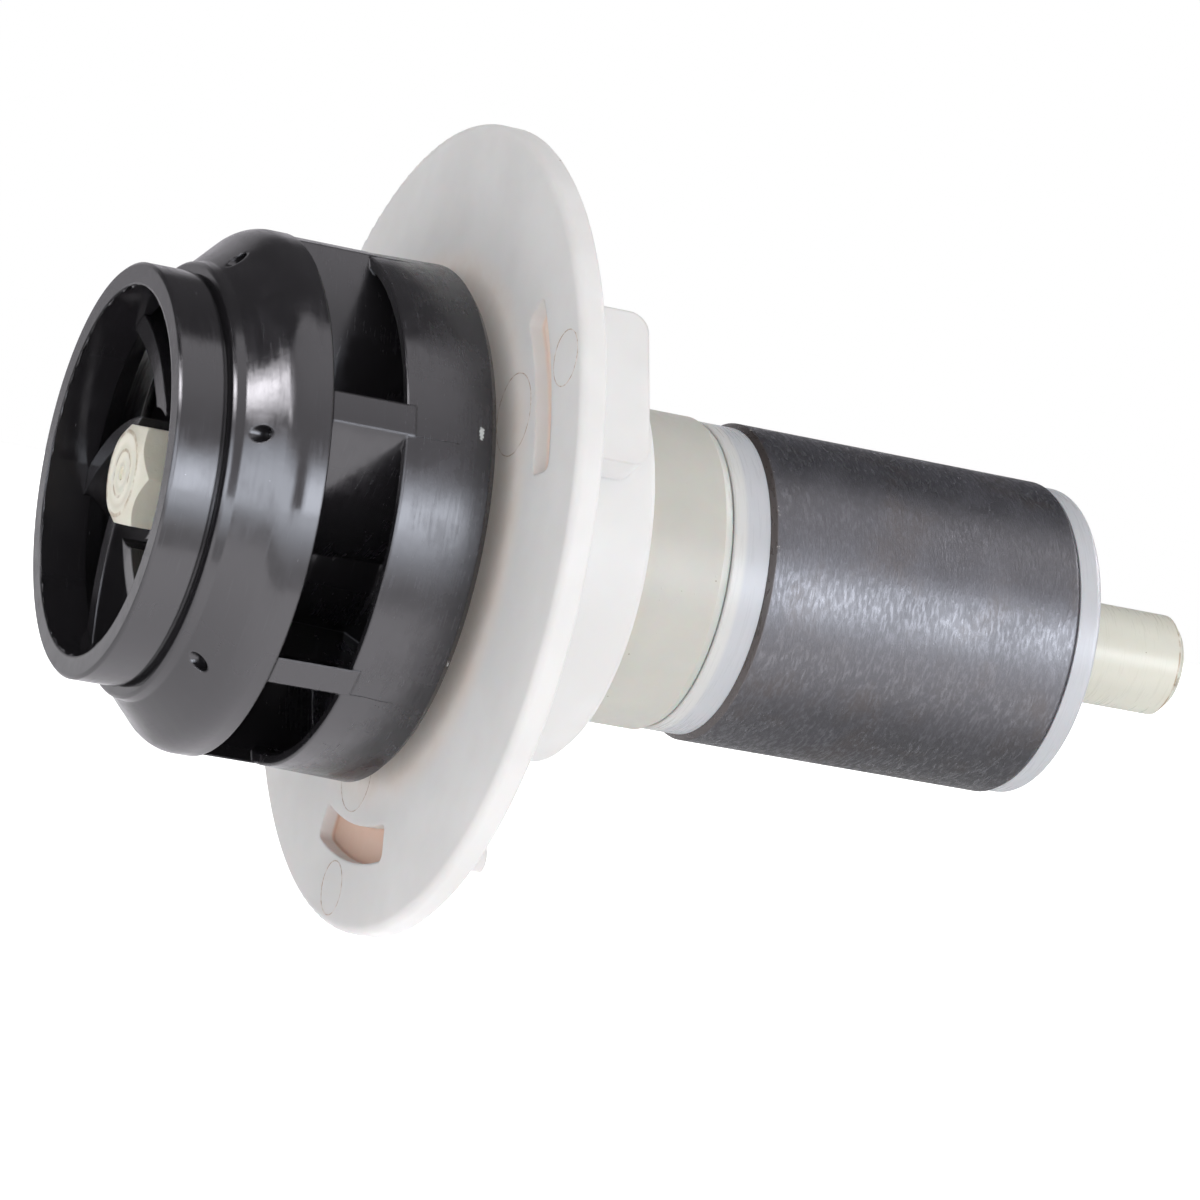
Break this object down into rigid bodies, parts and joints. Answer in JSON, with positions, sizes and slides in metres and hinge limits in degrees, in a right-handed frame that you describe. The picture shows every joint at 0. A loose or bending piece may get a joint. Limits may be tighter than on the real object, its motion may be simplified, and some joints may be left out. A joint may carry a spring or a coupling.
{
  "type": "wave maker pump rotor unit",
  "caption": "Rotating unit of a pond or wave pump: closed impeller, white bearing plate with kidney pockets, ferrite magnet rotor and ceramic shaft.",
  "frame": {"origin": "on the shaft axis, on the rear face of the bearing plate", "axes": "+X along the shaft from the impeller eye to the shaft tail; +Z away from the middle of the lowest kidney pocket, with the other two pockets 30 degrees above +Y and -Y; +Y completes the right-handed set"},
  "size_m": [0.134, 0.0924, 0.0924],
  "materials": {
    "impeller_plastic": "semi-gloss moulded black plastic with fine scuffs",
    "plate_plastic": "satin white moulded plastic",
    "rotor_plastic": "glossy blue-white plastic",
    "sleeve_silicone": "translucent cream silicone",
    "ferrite": "ground sintered ferrite with fine rings of grinding marks",
    "shaft_ceramic": "polished ivory alumina",
    "bearing_ceramic": "fine ground white ceramic",
    "nut_polymer": "satin ivory polymer",
    "bush_polymer": "natural bearing polymer",
    "washer_polymer": "grey glass-filled polymer",
    "black_rubber": "matt black rubber",
    "carbon": "lapped carbon-filled bearing material"
  },
  "bodies": {
    "plate": {"bearing_plate": "plate_plastic", "bearing_sleeve": "sleeve_silicone", "bearing_bush": "bearing_ceramic", "thrust_cushion": "black_rubber"},
    "thrust": {"thrust_ring": "carbon"},
    "rotor": {"shaft": "shaft_ceramic", "shaft_nut": "nut_polymer", "nut_washer": "washer_polymer", "drive_dog": "washer_polymer", "shoulder_washer": "bush_polymer", "magnet": "ferrite", "magnet_core": "rotor_plastic", "front_collar": "rotor_plastic", "rear_end_cap": "rotor_plastic", "runner_washer": "bearing_ceramic", "runner_cushion": "black_rubber"},
    "impeller": {"front_shroud": "impeller_plastic", "impeller_body": "impeller_plastic", "hub_bush": "bush_polymer", "hub_cover": "impeller_plastic", "stop_buffers": "black_rubber"}
  },
  "joints": [
    {"name": "rotor_float", "type": "slide", "parent": "plate", "child": "thrust", "axis": [1, 0, 0], "range_m": [0, 0.0008]},
    {"name": "rotor_spin", "type": "hinge", "parent": "thrust", "child": "rotor", "pos_m": [0, 0, 0], "axis": [1, 0, 0], "continuous": true},
    {"name": "impeller_start_turn", "type": "hinge", "parent": "rotor", "child": "impeller", "pos_m": [-0.02, 0, 0], "axis": [1, 0, 0], "range_deg": [-53, 53]}
  ]
}
